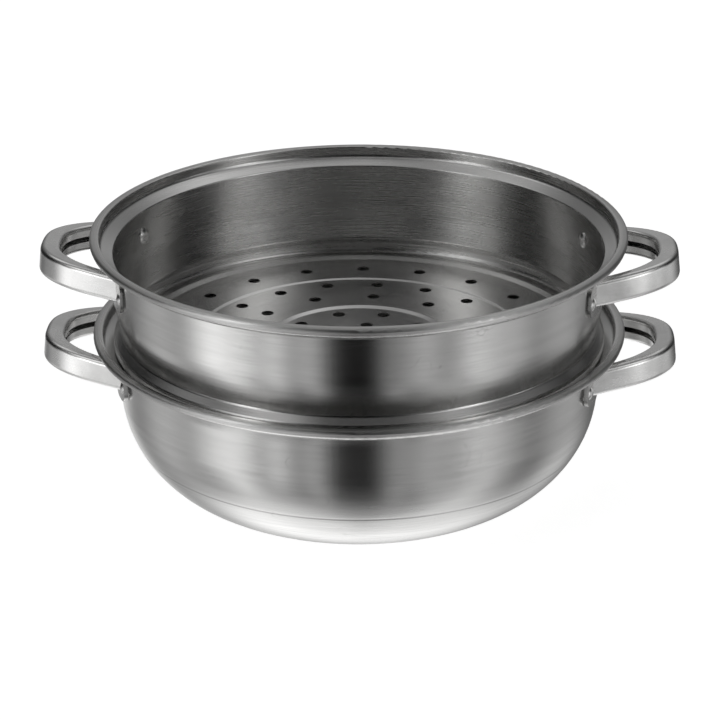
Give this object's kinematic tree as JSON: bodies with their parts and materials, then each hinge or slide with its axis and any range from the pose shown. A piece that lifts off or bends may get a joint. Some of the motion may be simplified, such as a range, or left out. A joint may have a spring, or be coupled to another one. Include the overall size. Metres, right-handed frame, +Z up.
{
  "type": "steamer pot",
  "caption": "Wide round steel pot with a perforated steamer tier seated in its stepped rim, both open at the top and carried by hollow loop handles riveted to the wall through lugs.",
  "frame": {"origin": "centre of the pot's flat base, on the hob or table", "axes": "+Z up along the axis of pot and tier, +X towards the right pair of handles, -Y towards the front, where the picture was taken from, and +Y towards the rear"},
  "size_m": [0.3506, 0.2934, 0.1448],
  "materials": {
    "vessel_steel": "brushed stainless steel with concentric turning marks, satin to bright",
    "handle_steel": "pressed stainless steel, polished",
    "lug_steel": "stainless steel plate, polished with rounded edges",
    "rivet_steel": "stainless steel rivet, satin"
  },
  "bodies": {
    "pot": {"pot_body": "vessel_steel", "pot_handle_left": "handle_steel", "pot_handle_right": "handle_steel", "pot_lug_left_front": "lug_steel", "pot_lug_left_rear": "lug_steel", "pot_lug_right_front": "lug_steel", "pot_lug_right_rear": "lug_steel", "pot_rivet_left_front": "rivet_steel", "pot_rivet_left_rear": "rivet_steel", "pot_rivet_right_front": "rivet_steel", "pot_rivet_right_rear": "rivet_steel"},
    "steamer": {"steamer_body": "vessel_steel", "steamer_handle_left": "handle_steel", "steamer_handle_right": "handle_steel", "steamer_lug_left_front": "lug_steel", "steamer_lug_left_rear": "lug_steel", "steamer_lug_right_front": "lug_steel", "steamer_lug_right_rear": "lug_steel", "steamer_rivet_left_front": "rivet_steel", "steamer_rivet_left_rear": "rivet_steel", "steamer_rivet_right_front": "rivet_steel", "steamer_rivet_right_rear": "rivet_steel"}
  },
  "joints": [
    {"name": "steamer_lift", "type": "slide", "parent": "pot", "child": "steamer", "axis": [0, 0, 1], "range_m": [0, 0.2]}
  ]
}
